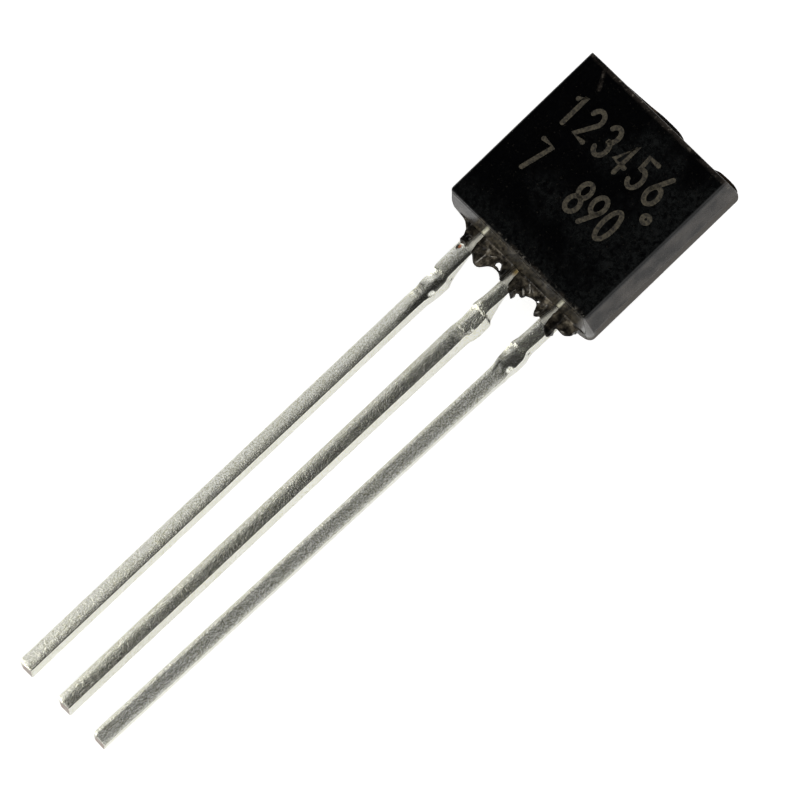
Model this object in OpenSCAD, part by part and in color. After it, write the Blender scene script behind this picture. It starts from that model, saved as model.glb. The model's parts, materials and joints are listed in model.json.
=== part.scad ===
// Three-lead signal transistor: a moulded epoxy body on a stamped and tinned lead frame.
// Moulding axes: X across the flat, Y from the lead tips to the head, Z out of the flat.
// The flat lies at z = 0, and the edge of it that faces the leads at y = 0.
// lying() turns those axes to the attitude in which the loose part rests, flat side up.

/* [Flat] */
// Width of the flat between its sharp corners
flat_w = 4.35; // [4.15:0.05:4.5]
// Height of the flat
flat_h = 4.3; // [4.2:0.05:4.5]
// Radius along the flat's two sides
side_edge_r = 0.07; // [0.04:0.01:0.16]
// Radius along the flat's two ends
end_edge_r = 0.04; // [0.02:0.01:0.06]

/* [Body] */
// Depth of the parting line behind the flat
parting_z = 0.875; // [0.8:0.025:0.95]
// Draft of each side from the flat to the parting line
side_flare = 0.053; // [0.03:0.001:0.1]
// Draft of the lead end from the flat to the parting line
foot_flare = 0.154; // [0.12:0.002:0.18]
// Draft of the head from the flat to the parting line
head_flare = 0.096; // [0.08:0.002:0.12]
// Radius of the corners at the parting line
corner_r = 0.19; // [0.14:0.01:0.24]
// Radius of each rear side
rear_side_r = 3.3; // [3.1:0.1:3.6]
// Draft of the rear sides at the parting line, in degrees
rear_side_draft = 5.5; // [3:0.5:7]
// Slope at which the rear sides run into the round back, in degrees
shoulder_slope = 50; // [45:1:58]
// Draft of the rear half's two ends, in degrees
rear_end_draft = 2; // [1:0.5:3]

/* [Ejector mark] */
// Diameter of the ejector pin's mark on the back
ejector_d = 1.45; // [1:0.05:1.8]
// Depth of the mark
ejector_depth = 0.05; // [0.03:0.01:0.08]

/* [Lead frame] */
// Spacing of the leads
pitch = 1.27; // [1.27]
// Width of a lead
lead_w = 0.385; // [0.36:0.005:0.41]
// Thickness of the strip
lead_t = 0.41; // [0.38:0.01:0.44]
// Distance of the lead tips from the flat's edge
tip_y = 13.9; // [12.5:0.1:14.5]
// Width of the three necks above the dam bar
neck_w = [0.425, 0.362, 0.386];
// Lean of the three leads below the dam bar, in degrees
lean = [0.6, 0.65, 1.35];
// Twist of the three leads below the dam bar, in degrees
twist = [0, 0, 13];
// Width and depth of the punch's roll-over along the left edge of the three leads
roll_w = [0.375, 0.25, 0.1];
roll_d = [0.15, 0.1, 0.05];

/* [Dam bar] */
// Distance of the dam bar's upper edge from the flat
dam_top = 1.36; // [1.3:0.02:1.5]
// Height of the dam bar
dam_h = 0.64; // [0.5:0.02:0.7]
// Sheared stub left on the left and right of each lead
stubs = [[0.005, 0.075], [0.03, 0.14], [0.05, 0.09]];

/* [Lead ends in the body] */
// Height of the paddle's lower edge
paddle_y = 1.75; // [1.65:0.05:1.9]
// Width and height of the die paddle
paddle_size = [2.2, 1.6];
// Height of the emitter and base pads' upper edges
emitter_pad_y = 1.45; // [1.3:0.05:1.5]
base_pad_y = 1.25; // [1.1:0.05:1.45]

/* [Die] */
// Side of the square silicon die
die_side = 0.5; // [0.35:0.05:0.6]
// Thickness of the die
die_t = 0.2; // [0.15:0.01:0.25]
// Thickness of the solder under the die
attach_t = 0.02; // [0.01:0.005:0.03]
// Middle of the die on the paddle
die_at = [0.15, 2.5];
// Thickness of a bond wire
wire_d = 0.05; // [0.03:0.01:0.06]
// Radius of a bond wire's loop, as a part of its span
loop_ratio = 0.62; // [0.55:0.01:0.75]

/* [Hidden] */
$fn = 96;
over = 0.5;

// Parting outline
half_w = flat_w / 2 + side_flare;
foot_y = -foot_flare;
head_y = flat_h + head_flare;

// Front half: the sides lean out by this angle, and a circle rounds each edge of the flat
front_side_draft = atan(side_flare / parting_z);
edge_x = flat_w / 2 - side_edge_r * (1 - sin(front_side_draft)) / cos(front_side_draft);

// Rear half: two side arcs, then a back arc that carries on from them at the shoulder
rear_cx = half_w - rear_side_r * cos(rear_side_draft);
rear_cz = rear_side_r * sin(rear_side_draft) - parting_z;
shoulder_x = rear_cx + rear_side_r * cos(shoulder_slope);
shoulder_z = rear_cz - rear_side_r * sin(shoulder_slope);
back_r = shoulder_x / cos(shoulder_slope);
back_cz = shoulder_z + back_r * sin(shoulder_slope);
back_z = back_cz - back_r;
rear_in = (-parting_z - back_z) * tan(rear_end_draft);

// Lead frame
lead_x = [-pitch, 0, pitch];
lead_back = -parting_z - lead_t;
dam_bottom = -dam_top - dam_h;
shank_y = dam_bottom + 0.25;
// A twisted lead is lifted until its lowest edge is level with the others
twist_lift = [for (turn = twist) (lead_w * sin(turn) + lead_t * (cos(turn) - 1)) / 2];

// Resin flash in the plane of the strip, beside and between the necks
flash = [
  [[-1.86, 0], [-1.84, -0.16], [-1.57, -0.27], [-1.49, -0.42], [-1.5, -0.56], [-1.45, -0.8],
   [-1.27, -0.8], [-1.27, 0]],
  [[-1.27, 0], [-1.27, -0.56], [-1.06, -0.57], [-0.9, -0.7], [-0.72, -0.73], [-0.61, -0.64],
   [-0.55, -0.53], [-0.46, -0.48], [-0.31, -0.5], [-0.15, -0.59], [0, -0.6], [0, 0]],
  [[0, 0], [0, -0.66], [0.32, -0.71], [0.35, -0.53], [0.47, -0.56], [0.55, -0.44], [0.68, -0.4],
   [0.8, -0.4], [0.9, -0.47], [0.96, -0.61], [1.1, -0.54], [1.27, -0.54], [1.27, 0]],
  [[1.27, 0], [1.27, -0.8], [1.53, -0.8], [1.64, -0.53], [1.87, -0.44], [1.9, -0.22],
   [1.97, -0.16], [1.9, 0]]
];
pinholes = [[-0.43, -0.36], [0.84, -0.33]];
pinhole_d = 0.06;

// Torn gate and thin corner flash: how far they rise above the head's parting line along X
gate = [[-1.3, 0], [-0.9, 0.025], [-0.3, 0.066], [0.1, 0.069], [0.3, 0.052], [0.38, 0]];
gate_t = 0.16;
corner_flash = [[1.38, -0.01], [1.47, 0.012], [1.57, 0.05], [1.85, 0.065], [2.12, 0.045],
                [2.2, 0]];
corner_flash_t = 0.05;
// Chip between them, and the one out of the flat's corner
chip_x = [0.385, 1.38];
chip_depth = 0.035;
corner_chip = [0.2, 0.13, 0.12];

// Bond points on the die and on the two pads
die_top = -parting_z + attach_t + die_t;
base_bond = [die_at + [0.12, -0.1], [0.1, 0.98]];
emitter_bond = [die_at + [-0.12, 0.1], [-1, 1.2]];
bond_d = 0.12;
bond_h = 0.05;

// Attitude at rest: the back's edge at the lead end and the three tips are on the ground
back_foot_y = foot_y + rear_in;
back_head_y = head_y - rear_in;
lay_angle = atan((lead_back - back_z) / (tip_y + back_foot_y));
lift = -back_z * cos(lay_angle) - back_foot_y * sin(lay_angle);
reach_head = back_head_y * cos(lay_angle) - back_z * sin(lay_angle);
reach_tips = -tip_y * cos(lay_angle) + parting_z * sin(lay_angle);

module lying() {
  translate([0, -(reach_head + reach_tips) / 2, lift]) rotate([lay_angle, 0, 0]) children();
}

// Slab of the plane outline it is given, standing along X, along Y or along Z
module along_x(from, to) {
  translate([from, 0, 0]) rotate([90, 0, 90]) linear_extrude(to - from) children();
}
module along_y(from, to) {
  translate([0, to, 0]) rotate([90, 0, 0]) linear_extrude(to - from) children();
}
module along_z(from, to) {
  translate([0, 0, from]) linear_extrude(to - from) children();
}

// Half-plane band of a section between two depths
module band(low, high) {
  translate([-flat_w, low]) square([2 * flat_w, high - low]);
}

// Section through the body across the leads
module front_section() {
  side_normal = [cos(front_side_draft), sin(front_side_draft)];
  tangent = [edge_x, -side_edge_r] + side_edge_r * side_normal;
  polygon([[-half_w, -parting_z], [-tangent.x, tangent.y], [-edge_x, 0],
           [edge_x, 0], tangent, [half_w, -parting_z]]);
  for (side = [-1, 1]) translate([side * edge_x, -side_edge_r]) circle(side_edge_r);
}
module rear_section(inset = 0) {
  intersection() {
    band(shoulder_z, -parting_z);
    translate([rear_cx, rear_cz]) circle(rear_side_r - inset);
    translate([-rear_cx, rear_cz]) circle(rear_side_r - inset);
  }
  intersection() {
    band(back_z, shoulder_z);
    translate([0, back_cz]) circle(back_r - inset);
  }
}

// Section along the leads: the ends lean out to the parting line and in again behind it
module side_section() {
  foot_angle = atan(foot_flare / parting_z);
  head_angle = atan(head_flare / parting_z);
  foot_edge = end_edge_r * (1 - sin(foot_angle)) / cos(foot_angle);
  head_edge = flat_h - end_edge_r * (1 - sin(head_angle)) / cos(head_angle);
  polygon([[foot_edge, 0],
           [foot_edge - end_edge_r * cos(foot_angle), end_edge_r * (sin(foot_angle) - 1)],
           [foot_y, -parting_z], [back_foot_y, back_z],
           [back_head_y, back_z], [head_y, -parting_z],
           [head_edge + end_edge_r * cos(head_angle), end_edge_r * (sin(head_angle) - 1)],
           [head_edge, 0]]);
  for (y = [foot_edge, head_edge]) translate([y, -end_edge_r]) circle(end_edge_r);
}

// Outline at the parting line, seen from the flat
module parting_outline() {
  x = half_w - corner_r;
  low = foot_y + corner_r;
  high = head_y - corner_r;
  translate([-half_w, low]) square([2 * half_w, high - low]);
  translate([-x, foot_y]) square([2 * x, head_y - foot_y]);
  for (side = [-1, 1]) for (y = [low, high]) translate([side * x, y]) circle(corner_r);
}

module moulded_core() {
  intersection() {
    along_y(foot_y - over, head_y + over) {
      front_section();
      rear_section();
    }
    along_x(-half_w - over, half_w + over) side_section();
    along_z(back_z - over, over) parting_outline();
  }
}

// Round mark of the ejector pin, which follows the curve of the back
module ejector_mark() {
  difference() {
    translate([0, flat_h / 2, back_z - over]) cylinder(d = ejector_d, h = over - back_z + shoulder_z);
    along_y(0, flat_h) rear_section(ejector_depth);
  }
}

// Resin that ran out between the mould halves as far as the dam bar and broke off
module strip_flash() {
  along_z(lead_back, -parting_z) difference() {
    for (outline = flash) polygon(outline);
    for (hole = pinholes) translate(hole) circle(d = pinhole_d, $fn = 6);
  }
}

// Fin that stands on the head's parting line, rooted inside the corners of the outline
module head_fin(rise) {
  root = flat_h - corner_r;
  above = [for (point = rise) [point.x, head_y + point.y]];
  polygon(concat([[rise[0].x, root]], above, [[rise[len(rise) - 1].x, root]]));
}
module head_flash() {
  along_z(-parting_z - gate_t / 2, -parting_z + gate_t / 2) head_fin(gate);
  along_z(-parting_z - corner_flash_t, -parting_z) head_fin(corner_flash);
}

// Chips out of the head's parting line and out of the flat's corner
module chips() {
  translate([chip_x[0], head_y - chip_depth, -parting_z - gate_t / 2])
    cube([chip_x[1] - chip_x[0], over, gate_t]);
  translate([flat_w / 2, flat_h, 0]) rotate([0, 0, 45]) rotate([40, 0, 0])
    translate([-corner_chip.x / 2, -corner_chip.y / 2, -corner_chip.z / 2])
      cube(corner_chip + [0, over, over]);
}

// Section of a lead, whose left front edge rolled over as the punch came down
module strip_section(i) {
  left = -lead_w / 2;
  front = lead_t / 2;
  polygon([[left, -front], [-left, -front], [-left, front], [left + roll_w[i], front],
           [left + roll_w[i] / 3, front - roll_d[i] / 2], [left, front - roll_d[i]]]);
}
// Straight lead from the dam bar to its tip, leaned and turned about its own length
module shank(i) {
  translate([lead_x[i], shank_y, -parting_z - lead_t / 2 + twist_lift[i]])
    rotate([0, 0, -lean[i]]) rotate([90, 0, 0]) linear_extrude(tip_y + shank_y)
      rotate(-twist[i]) strip_section(i);
}
// Stamped outline of one lead above the dam bar
module neck(i) {
  translate([lead_x[i] - neck_w[i] / 2, -dam_top - 0.1]) square([neck_w[i], dam_top + 0.2]);
}
// What is left of the dam bar on one lead after the shear
module dam_stub(i) {
  left = lead_x[i] - neck_w[i] / 2;
  right = lead_x[i] + neck_w[i] / 2;
  low = lead_x[i] - lead_w / 2;
  polygon([[left, -dam_top], [left - stubs[i][0], -dam_top - 0.12],
           [left - stubs[i][0], dam_bottom + 0.2], [low, dam_bottom],
           [low + lead_w, dam_bottom], [right + stubs[i][1], dam_bottom + 0.3],
           [right + stubs[i][1], -dam_top - 0.16], [right, -dam_top]]);
}

module emitter_lead() {
  left = lead_x[0] - neck_w[0] / 2;
  color("lightgray") {
    shank(0);
    along_z(lead_back, -parting_z) {
      dam_stub(0);
      neck(0);
      polygon([[left, 0], [left + neck_w[0], 0], [left + neck_w[0], 0.75], [-0.7, 0.95],
               [-0.7, emitter_pad_y], [left, emitter_pad_y]]);
    }
  }
}

module base_lead() {
  neck_half = neck_w[1] / 2;
  pad_half = 0.42;
  color("lightgray") {
    shank(1);
    along_z(lead_back, -parting_z) {
      dam_stub(1);
      neck(1);
      polygon([[-neck_half, 0], [neck_half, 0], [neck_half, 0.5], [pad_half, 0.68],
               [pad_half, base_pad_y], [-pad_half, base_pad_y], [-pad_half, 0.68],
               [-neck_half, 0.5]]);
    }
  }
}

module collector_lead() {
  left = lead_x[2] - neck_w[2] / 2;
  right = left + neck_w[2];
  paddle_left = right - paddle_size.x;
  color("lightgray") {
    shank(2);
    along_z(lead_back, -parting_z) {
      dam_stub(2);
      neck(2);
      polygon([[left, 0], [right, 0], [right, paddle_y + paddle_size.y],
               [paddle_left, paddle_y + paddle_size.y], [paddle_left, paddle_y],
               [left - 0.2, paddle_y], [left, paddle_y - 0.2]]);
    }
  }
}

module die_attach() {
  color("silver") translate([die_at.x, die_at.y, -parting_z + attach_t / 2])
    cube([die_side + 0.04, die_side + 0.04, attach_t], center = true);
}

module silicon_die() {
  color("dimgray") translate([die_at.x, die_at.y, die_top - die_t / 2])
    cube([die_side, die_side, die_t], center = true);
}

// Gold wire from a ball on the die to a stitch on a pad, as one arc of a circle
module bond_wire(points) {
  from = points[0];
  to = points[1];
  span = norm(to - from);
  drop = die_top + parting_z;
  chord = norm([span, drop]);
  loop_r = chord * loop_ratio;
  sink = sqrt(loop_r ^ 2 - chord ^ 2 / 4);
  slope = atan(drop / span);
  half_turn = asin(chord / 2 / loop_r);
  heading = atan2(to.y - from.y, to.x - from.x);
  color("gold") {
    translate([from.x, from.y, die_top]) cylinder(d = bond_d, h = bond_h, $fn = 24);
    translate([to.x, to.y, -parting_z]) rotate(heading)
      translate([-bond_d / 2, -bond_d / 3, 0]) cube([bond_d, bond_d * 2 / 3, bond_h]);
    translate([from.x, from.y, die_top + bond_h / 2]) rotate(heading) rotate([90, slope, 0])
      translate([chord / 2, -sink, 0]) rotate(90 - half_turn)
        rotate_extrude(angle = 2 * half_turn, $fn = 96)
          translate([loop_r, 0]) circle(d = wire_d, $fn = 8);
  }
}
module base_bond_wire() { bond_wire(base_bond); }
module emitter_bond_wire() { bond_wire(emitter_bond); }

module moulded_body() {
  color("#141416") difference() {
    union() {
      moulded_core();
      strip_flash();
      head_flash();
    }
    ejector_mark();
    chips();
    emitter_lead();
    base_lead();
    collector_lead();
    die_attach();
    silicon_die();
    base_bond_wire();
    emitter_bond_wire();
  }
}

lying() moulded_body();
lying() emitter_lead();
lying() base_lead();
lying() collector_lead();
lying() silicon_die();
lying() die_attach();
lying() base_bond_wire();
lying() emitter_bond_wire();
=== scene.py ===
# A loose three-lead transistor, lying on a table with the flat of its body up.
import json
from math import atan, cos, pi, radians, sin, sqrt, tan

import bpy
import numpy as np
from mathutils import Matrix, Vector, noise
from mathutils.geometry import delaunay_2d_cdt


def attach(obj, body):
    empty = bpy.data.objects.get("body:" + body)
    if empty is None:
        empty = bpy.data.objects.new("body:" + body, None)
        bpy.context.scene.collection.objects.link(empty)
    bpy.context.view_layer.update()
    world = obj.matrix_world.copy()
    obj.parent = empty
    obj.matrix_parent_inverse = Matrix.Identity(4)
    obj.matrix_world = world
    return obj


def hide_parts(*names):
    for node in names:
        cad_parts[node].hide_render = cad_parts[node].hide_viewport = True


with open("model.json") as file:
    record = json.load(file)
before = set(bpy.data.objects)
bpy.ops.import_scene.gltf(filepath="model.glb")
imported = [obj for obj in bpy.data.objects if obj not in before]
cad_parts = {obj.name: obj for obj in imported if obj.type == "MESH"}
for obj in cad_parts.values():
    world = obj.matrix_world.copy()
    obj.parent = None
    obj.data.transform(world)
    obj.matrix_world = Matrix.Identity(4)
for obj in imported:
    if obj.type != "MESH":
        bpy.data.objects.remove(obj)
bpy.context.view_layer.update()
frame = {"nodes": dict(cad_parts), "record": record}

# --- Moulding axes ----------------------------------------------------
# Every shape below is drawn in the mould's own axes, in millimetres: X across the flat, Y from the
# lead tips to the head, Z out of the flat, with zero in the middle of the flat's lead-end edge.
# The flat is the datum, so its mount gives where those axes lie.
MM = 0.001
FLAT_W = 4.35
FLAT_H = 4.3

flat_mount = next(m for m in frame["record"]["mounts"] if m["name"] == "flat")
out_of_flat = Vector(flat_mount["axis"]).normalized()
across = Vector((1, 0, 0))
along = out_of_flat.cross(across)
flat_foot = Vector(flat_mount["pos_m"]) - along * (FLAT_H / 2 * MM)
mould_axes = np.array([across, along, out_of_flat])


def laid(points):
    """Mould points in millimetres, as the loose part lies, in metres."""
    return np.asarray(points, float) @ mould_axes * MM + np.array(flat_foot)


# --- Stamped leads ----------------------------------------------------
# Three legs of one copper strip, stamped, tin plated and cut apart. The dam bar that joined them was
# sheared off 1.4 mm from the body, which left bright stubs. The blank's left edge is rolled over.
STRIP_T = 0.41
STRIP_FRONT = -0.875
TIP_FRONT = -13.845
TIP_SLANT = 0.055
ROLL_REACH = 0.37
FRONT_STEPS = 24
FRONT_CORNER = 0.012
BACK_CORNER = 0.03
RING_STEP = 0.03
FINE_RING_STEP = 0.014
HAMMER = 0.0022
HAMMER_GRAIN = 0.09
HIDDEN_END = 0.9
TIP_CORNER = 0.1
BLISTER_AT = (-1.41, -0.68, -0.97)
AMBER_SPOT_AT = (-0.06, -0.22, -0.9)
# Nicks that the shear left, drawn only as dark spots on the tin: painted shade of the dents
NICK_SHADE_SPOTS = [
    (-1.045, -1.3, -1.14), (0.26, -1.37, -1.07), (0.26, -1.37, -1.13), (0.26, -1.37, -1.19),
    (1.46, -1.29, -1.06),
]
BURR_H = 0.05
BURR_FROM = 0.62
BURR_SPAN = (-1.95, -1.9, -1.82, -1.76)
DAM_SPAN = (-2.1, -1.95, -1.45, -1.2)
RIB_SPACING = 0.075
FOOT_OF_NECK = -1.6
TOP_OF_SHANK = -2.25
FINE_FROM = -2.3
FINE_TO = -0.4
SLOPE_LIMITS = (-25, 61)
LEAD_SHARP = radians(29)

# Along each lead: y, left and right edge of the front, and how far the right side leans out
emitter_edges = [
    (-0.6, -1.476, -1.055, -0.15), (-0.75, -1.476, -1.055, -0.12),
    (-1.1, -1.472, -1.052, -0.06), (-1.25, -1.47, -1.05, -0.022), (-1.35, -1.462, -1.045, 0.0),
    (-1.4, -1.44, -1.03, 0.01), (-1.46, -1.42, -1.0, 0.008), (-1.6, -1.425, -0.995, 0.0),
    (-1.78, -1.435, -0.995, -0.01), (-1.9, -1.42, -1.0, -0.02), (-2.0, -1.4, -1.015, -0.02),
    (-2.08, -1.415, -1.03, -0.018), (-2.4, -1.425, -1.04, -0.018), (-14, -1.549, -1.164, -0.018),
]
base_edges = [
    (-0.6, -0.15, 0.195, -0.15), (-0.8, -0.155, 0.193, -0.125),
    (-0.95, -0.16, 0.188, -0.08), (-1.1, -0.17, 0.18, -0.03), (-1.2, -0.185, 0.17, 0.008),
    (-1.33, -0.203, 0.18, 0.045), (-1.37, -0.2, 0.2, 0.045), (-1.4, -0.185, 0.245, 0.05),
    (-1.55, -0.16, 0.262, 0.05), (-1.7, -0.155, 0.268, 0.045), (-1.9, -0.165, 0.25, 0.045),
    (-2.0, -0.18, 0.21, 0.04), (-2.1, -0.188, 0.215, 0.025), (-2.5, -0.19, 0.22, 0.015),
    (-5.2, -0.215, 0.18, 0.0), (-14, -0.315, 0.066, -0.004),
]
collector_edges = [
    (-0.7, 1.105, 1.488, -0.035), (-1.0, 1.1, 1.48, -0.03),
    (-1.2, 1.085, 1.465, -0.02), (-1.32, 1.055, 1.47, -0.01), (-1.4, 1.05, 1.515, -0.03),
    (-1.47, 1.055, 1.545, -0.04), (-1.6, 1.07, 1.55, -0.04), (-1.72, 1.08, 1.55, -0.04),
    (-1.8, 1.085, 1.51, 0.0), (-1.88, 1.095, 1.5, 0.0), (-1.96, 1.11, 1.515, -0.02),
    (-2.05, 1.125, 1.53, -0.01), (-2.2, 1.13, 1.515, 0.0), (-2.4, 1.125, 1.5, 0.0),
    (-14, 0.838, 1.211, 0.0),
]

# Slope of the front face in degrees, falling to the left, from its left edge (-1) to its right (1)
emitter_slopes = [
    (-1, 42), (-0.88, 31), (-0.5, 29.5), (-0.12, 26.5), (0.12, 23), (0.38, 18.5), (0.62, 15), (1, 12),
]
base_slopes = [
    (-1, 31), (-0.88, 30), (-0.75, 28.5), (-0.5, 24), (-0.25, 15.5), (0, 11), (0.25, 9), (0.6, 7.2), (1, 8),
]
collector_slopes = [
    (-1, 44), (-0.88, 43), (-0.75, 39), (-0.58, 32), (-0.46, 28), (-0.459, -3.2), (0.3, -2.7), (0.55, -4.6),
    (0.8, -9), (1, -16),
]
# The same on the necks between the dam bar and the body
emitter_neck = [(-1, 35), (-0.5, 26), (0, 20), (0.5, 15), (0.75, 8), (0.9, 0), (1, 0)]
base_neck = [(-1, 50), (-0.7, 35), (-0.4, 25), (-0.2, 14), (0, 8), (1, 4)]
collector_neck = [(-1, 50), (-0.6, 30), (-0.3, 14), (0, 8), (0.5, 6), (1, 5)]
# Where the shear pulled the left edge further down (y, extra slope at the left edge)
emitter_pull = [
    (-2.35, 0), (-1.98, -13), (-1.85, -15), (-1.74, 0), (-1.6, 6), (-1.41, 4), (-1.33, -6), (-1.1, 0),
]
base_pull = [(-2.1, 0), (-2.0, 4), (-1.9, 6), (-1.6, 6), (-1.5, 5), (-1.22, -5), (-1.0, -2), (-0.8, 0)]
collector_pull = [(-2.1, 0), (-1.96, -14), (-1.84, -16), (-1.74, 0), (-1.4, 4), (-1.34, -5), (-1.1, 0)]
# Where it burnished the rolled edge, and the slope that left
burnished = [(-1.72, 0, 36), (-1.64, 1, 36), (-1.56, 1, 29), (-1.38, 1, 13), (-1.34, 0, 13)]
# And where it pressed the right half flatter (y, slope taken off at the right edge)
emitter_press = [(-3.0, 0), (-2.5, 6), (-2.2, 10), (-1.95, 14), (-1.55, 13), (-1.4, 5), (-1.0, 3), (-0.7, 0)]
base_press = [(-2.2, 0), (-2.08, -9), (-1.98, -9), (-1.9, -5), (-1.4, -5), (-1.2, 0)]
collector_press = [(-2.3, 0), (-1.8, 4), (-1.6, 4), (-1.4, 0)]


def colour(value):
    """Linear colour of an sRGB hex code, the grey of a number, or a linear colour as it is."""
    if isinstance(value, str):
        values = [int(value[i:i + 2], 16) / 255 for i in (1, 3, 5)]
        return tuple(v / 12.92 if v <= 0.04045 else ((v + 0.055) / 1.055) ** 2.4 for v in values) + (1.0,)
    return value if isinstance(value, tuple) else (value, value, value, 1.0)


def plug(node, **links):
    """Link or set a node's sockets, given by name or as i0, i1..."""
    for name, value in links.items():
        key = int(name[1:]) if name[0] == "i" and name[1:].isdigit() else name.replace("_", " ")
        socket = node.inputs[key]
        if isinstance(value, bpy.types.NodeSocket):
            node.id_data.links.new(value, socket)
        else:
            socket.default_value = colour(value) if socket.type == "RGBA" else value


def add(tree, kind, settings=None, **links):
    """A shader node with its settings, and its sockets linked or set."""
    made = tree.nodes.new(kind)
    for name, value in (settings or {}).items():
        setattr(made, name, value)
    plug(made, **links)
    return made


def calc(operation, *values):
    """Result of a math node, in the tree of its first value."""
    links = {f"i{k}": value for k, value in enumerate(values)}
    return add(values[0].id_data, "ShaderNodeMath", {"operation": operation}, **links).outputs[0]


def new_material(name):
    """A material with its shader and the place on the object in millimetres."""
    material = bpy.data.materials.new(name)
    material.use_nodes = True
    tree = material.node_tree
    tree.nodes.clear()
    output = tree.nodes.new("ShaderNodeOutputMaterial")
    shader = tree.nodes.new("ShaderNodeBsdfPrincipled")
    tree.links.new(shader.outputs[0], output.inputs[0])
    place = add(tree, "ShaderNodeTexCoord").outputs["Object"]
    at = add(tree, "ShaderNodeVectorMath", {"operation": "SCALE"}, i0=place, Scale=1 / MM).outputs[0]
    return material, shader, at


def ramp(value, stops):
    """A colour ramp over value, with its (place, colour) stops."""
    made = add(value.id_data, "ShaderNodeValToRGB", Fac=value)
    elements = made.color_ramp.elements
    while len(elements) < len(stops):
        elements.new(0.5)
    for element, (place, tone) in zip(elements, stops):
        element.position = place
        element.color = colour(tone)
    return made.outputs["Color"]


def span(value, start, end, first=0.0, last=1.0):
    """A grey that goes from first to last while value goes from start to end."""
    return ramp(value, [(start, first), (end, last)])


def noise_at(at, grain_mm, detail=3.0, roughness=0.5, **links):
    """Noise with grains of the given size in millimetres."""
    links.update(Scale=1 / grain_mm, Detail=detail, Roughness=roughness)
    return add(at.id_data, "ShaderNodeTexNoise", i0=at, **links).outputs[0]


def blend(factor, first, second, mode="MIX"):
    tree = next(value.id_data for value in (factor, first) if isinstance(value, bpy.types.NodeSocket))
    settings = {"data_type": "RGBA", "blend_type": mode}
    return add(tree, "ShaderNodeMix", settings, Factor=factor, i6=first, i7=second).outputs[2]


def times(first, second):
    return blend(1.0, first, second, "MULTIPLY")


def lighter(first, second):
    return blend(1.0, first, second, "LIGHTEN")


def levels_across(side, levels):
    """A grey by a place across the body, from its (millimetres, level) stops."""
    share = calc("MULTIPLY_ADD", side, 0.25, 0.5)
    return ramp(share, [(0.5 + x / 4, level) for x, level in levels])


def bumped(height, high_mm, strength, **links):
    """Normal of a surface with bumps of the given height."""
    links.update(Strength=strength, Distance=high_mm * MM, Height=height)
    return add(height.id_data, "ShaderNodeBump", **links).outputs[0]


def vector_calc(operation, first, second):
    """Number that comes out of a vector math node."""
    settings = {"operation": operation}
    return add(first.id_data, "ShaderNodeVectorMath", settings, i0=first, i1=tuple(second)).outputs["Value"]


def reach_mm(at, way):
    """How far a point lies from the middle of the flat's foot edge along one of its axes, in millimetres."""
    return calc("SUBTRACT", vector_calc("DOT_PRODUCT", at, way), flat_foot.dot(way) / MM)


def close_to(at, spot, full, none):
    """1 within a distance of a spot on the part, falling to 0 at a larger one."""
    return span(vector_calc("DISTANCE", at, laid(spot) / MM), full, none, 1.0, 0.0)


def tin_plate():
    """Electroplated matte tin: grey-white, with a grain of small crystals that sparkle."""
    material, shader, at = new_material("matte_tin_plate")
    blotch = noise_at(at, 0.45, 4.0)
    grain = noise_at(at, 0.045, 4.0, 0.65)
    pits = noise_at(at, 0.035, 2.0, 0.6)
    tone = ramp(blotch, [(0.3, "#f5f5ea"), (0.7, "#fdfdf6")])
    dark = ramp(pits, [(0.36, "#d4d3c6"), (0.54, 1.0)])
    tone = times(tone, dark)
    # A blister on the emitter has the copper bare in it
    tone = blend(close_to(at, BLISTER_AT, 0.045, 0.06), tone, "#b5795a")
    # The shear's nicks are painted dark, as the shade in the dents
    for nick in NICK_SHADE_SPOTS:
        tone = blend(close_to(at, nick, 0.03, 0.048), tone, "#4a473c")
    # At the roots the resin was scraped off, which left the tin bright and rough. The base lead's root gets
    # an amber spot
    outward = calc("ADD", reach_mm(at, along), 1.0)
    root = span(outward, 0.36, 0.5)
    tone = blend(times(root, dark), tone, "#fffdf4")
    tone = blend(close_to(at, AMBER_SPOT_AT, 0.03, 0.13), tone, "#cdb680")
    rough = blend(root, span(blotch, 0.3, 0.7, 0.25, 0.2), 0.6)
    pit = add(at.id_data, "ShaderNodeBump", {"invert": True}, Strength=1.0, Distance=0.05 * MM,
              Height=close_to(at, BLISTER_AT, 0.03, 0.095)).outputs[0]
    # The emitter lead is smoother than the other two
    strength = levels_across(reach_mm(at, across), [(-0.8, 0.6), (-0.56, 1.0)])
    bump = bumped(grain, 0.0083, strength, Normal=pit)
    plug(shader, Base_Color=tone, Metallic=1.0, Roughness=rough, Normal=bump)
    return material


def bare_end():
    """Cut end of the strip, where the shear smeared tin over the pinkish copper alloy."""
    material, shader, at = new_material("sheared_copper_alloy")
    smear = noise_at(at, 0.12, 3.0, 0.6)
    tone = ramp(smear, [(0.4, "#a08a7d"), (0.56, "#bbb5ae")])
    bump = bumped(smear, 0.01, 0.5)
    plug(shader, Base_Color=tone, Metallic=1.0, Roughness=0.38, Normal=bump)
    return material


def eased(value, start, end):
    t = np.clip((np.asarray(value, float) - start) / (end - start), 0, 1)
    return t * t * (3 - 2 * t)


def band_of(value, start, full, fading, end):
    """1 from full to fading, easing to 0 at start and end."""
    return eased(value, start, full) * (1 - eased(value, fading, end))


def read_table(table, place, column=1, width=0.0):
    """A column of a table at a place, with its corners eased over a width."""
    rows = sorted(table)
    offsets = np.linspace(-width, width, 5)
    return float(np.mean(np.interp(place + offsets, [r[0] for r in rows], [r[column] for r in rows])))


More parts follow.
